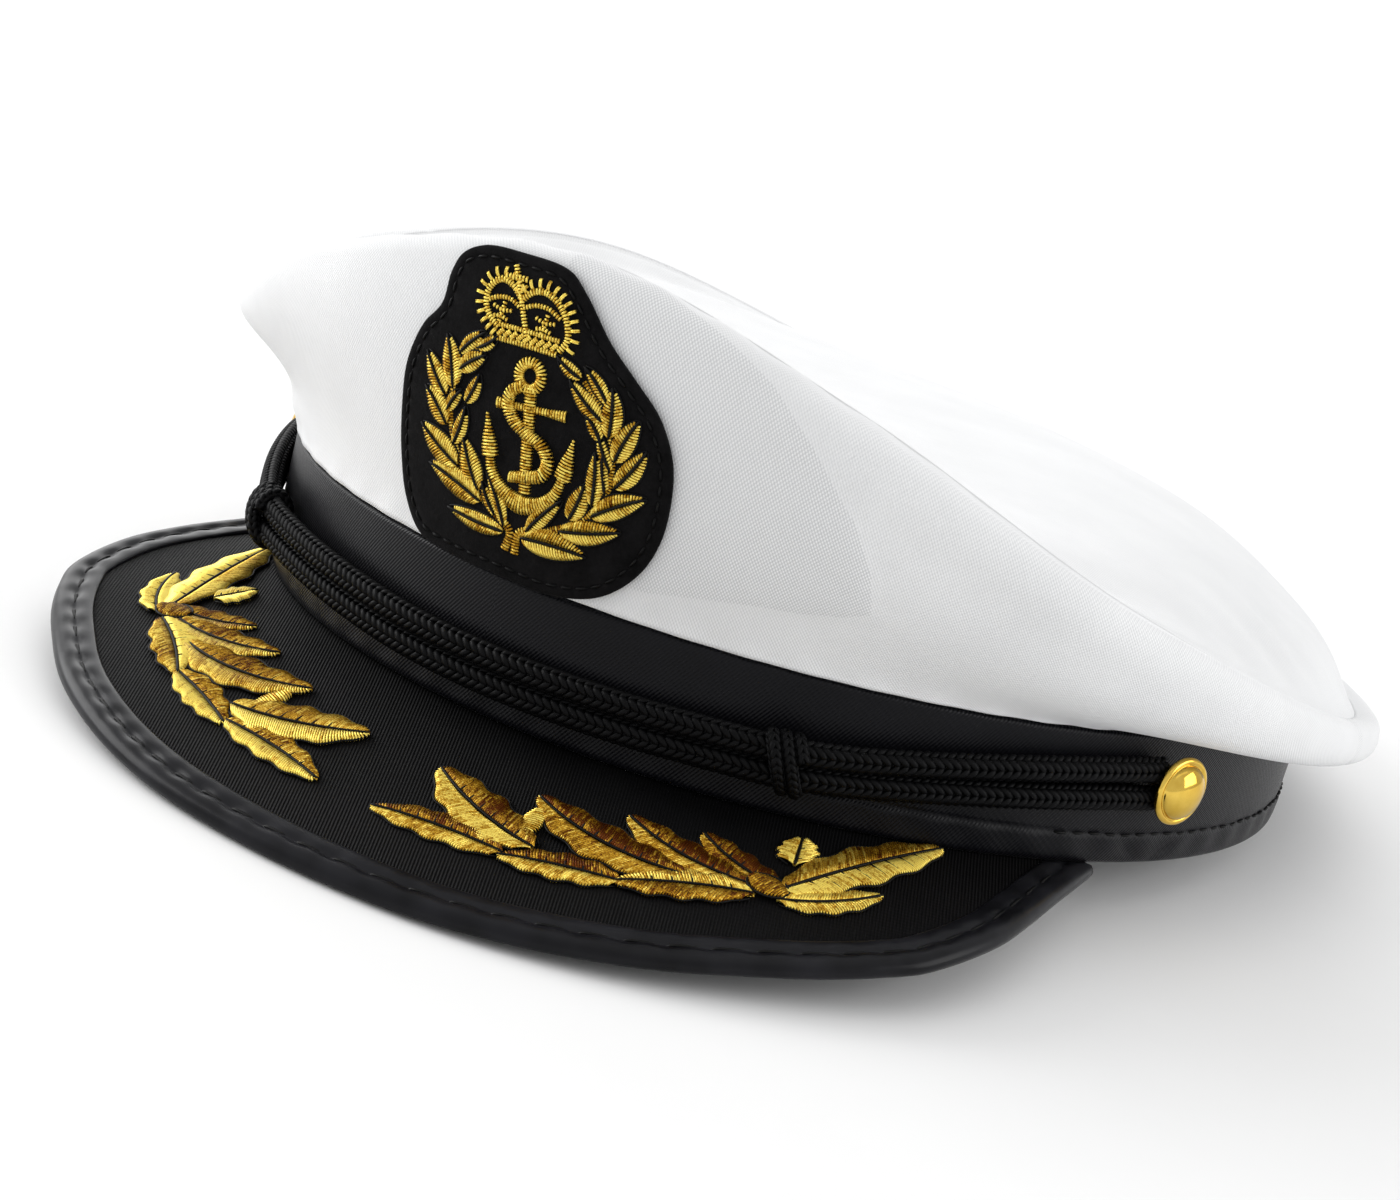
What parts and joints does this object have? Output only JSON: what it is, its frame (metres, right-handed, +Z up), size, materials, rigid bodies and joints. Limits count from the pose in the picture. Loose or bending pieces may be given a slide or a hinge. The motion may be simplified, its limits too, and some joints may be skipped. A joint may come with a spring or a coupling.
{
  "type": "captain hat",
  "caption": "Peaked captain hat with a soft white crown, black band and braided chin cord, gold embroidered badge and peak sprays.",
  "frame": {"origin": "centre of the bounding box's footprint, on the surface that the hat rests on", "axes": "-Y is the front, where the peak points; +X is the wearer's left; +Z up. The hat rests tilted back on its peak's edge and the band's rear rim."},
  "size_m": [0.208, 0.2586, 0.0866],
  "materials": {
    "white_cloth": "matte plain weave",
    "black_satin": "soft satin sheen, fine twill",
    "black_twill": "matte fine twill",
    "gloss_edging": "glossy soft vinyl",
    "black_felt": "matte felt",
    "gold_thread": "shiny satin-stitch thread",
    "black_braid": "shiny braided yarn",
    "brass": "polished"
  },
  "bodies": {
    "root": {"crown_side": "white_cloth", "crown_top": "white_cloth", "band": "black_satin", "peak": "black_twill", "peak_binding": "gloss_edging", "badge_patch": "black_felt", "badge_crown": "gold_thread", "badge_anchor": "gold_thread", "badge_laurel_right": "gold_thread", "badge_laurel_left": "gold_thread", "spray_left": "gold_thread", "spray_right": "gold_thread", "cord_upper": "black_braid", "cord_lower": "black_braid", "cord_knot_left": "black_braid", "cord_knot_right": "black_braid", "button_left": "brass", "button_right": "brass"}
  },
  "joints": []
}
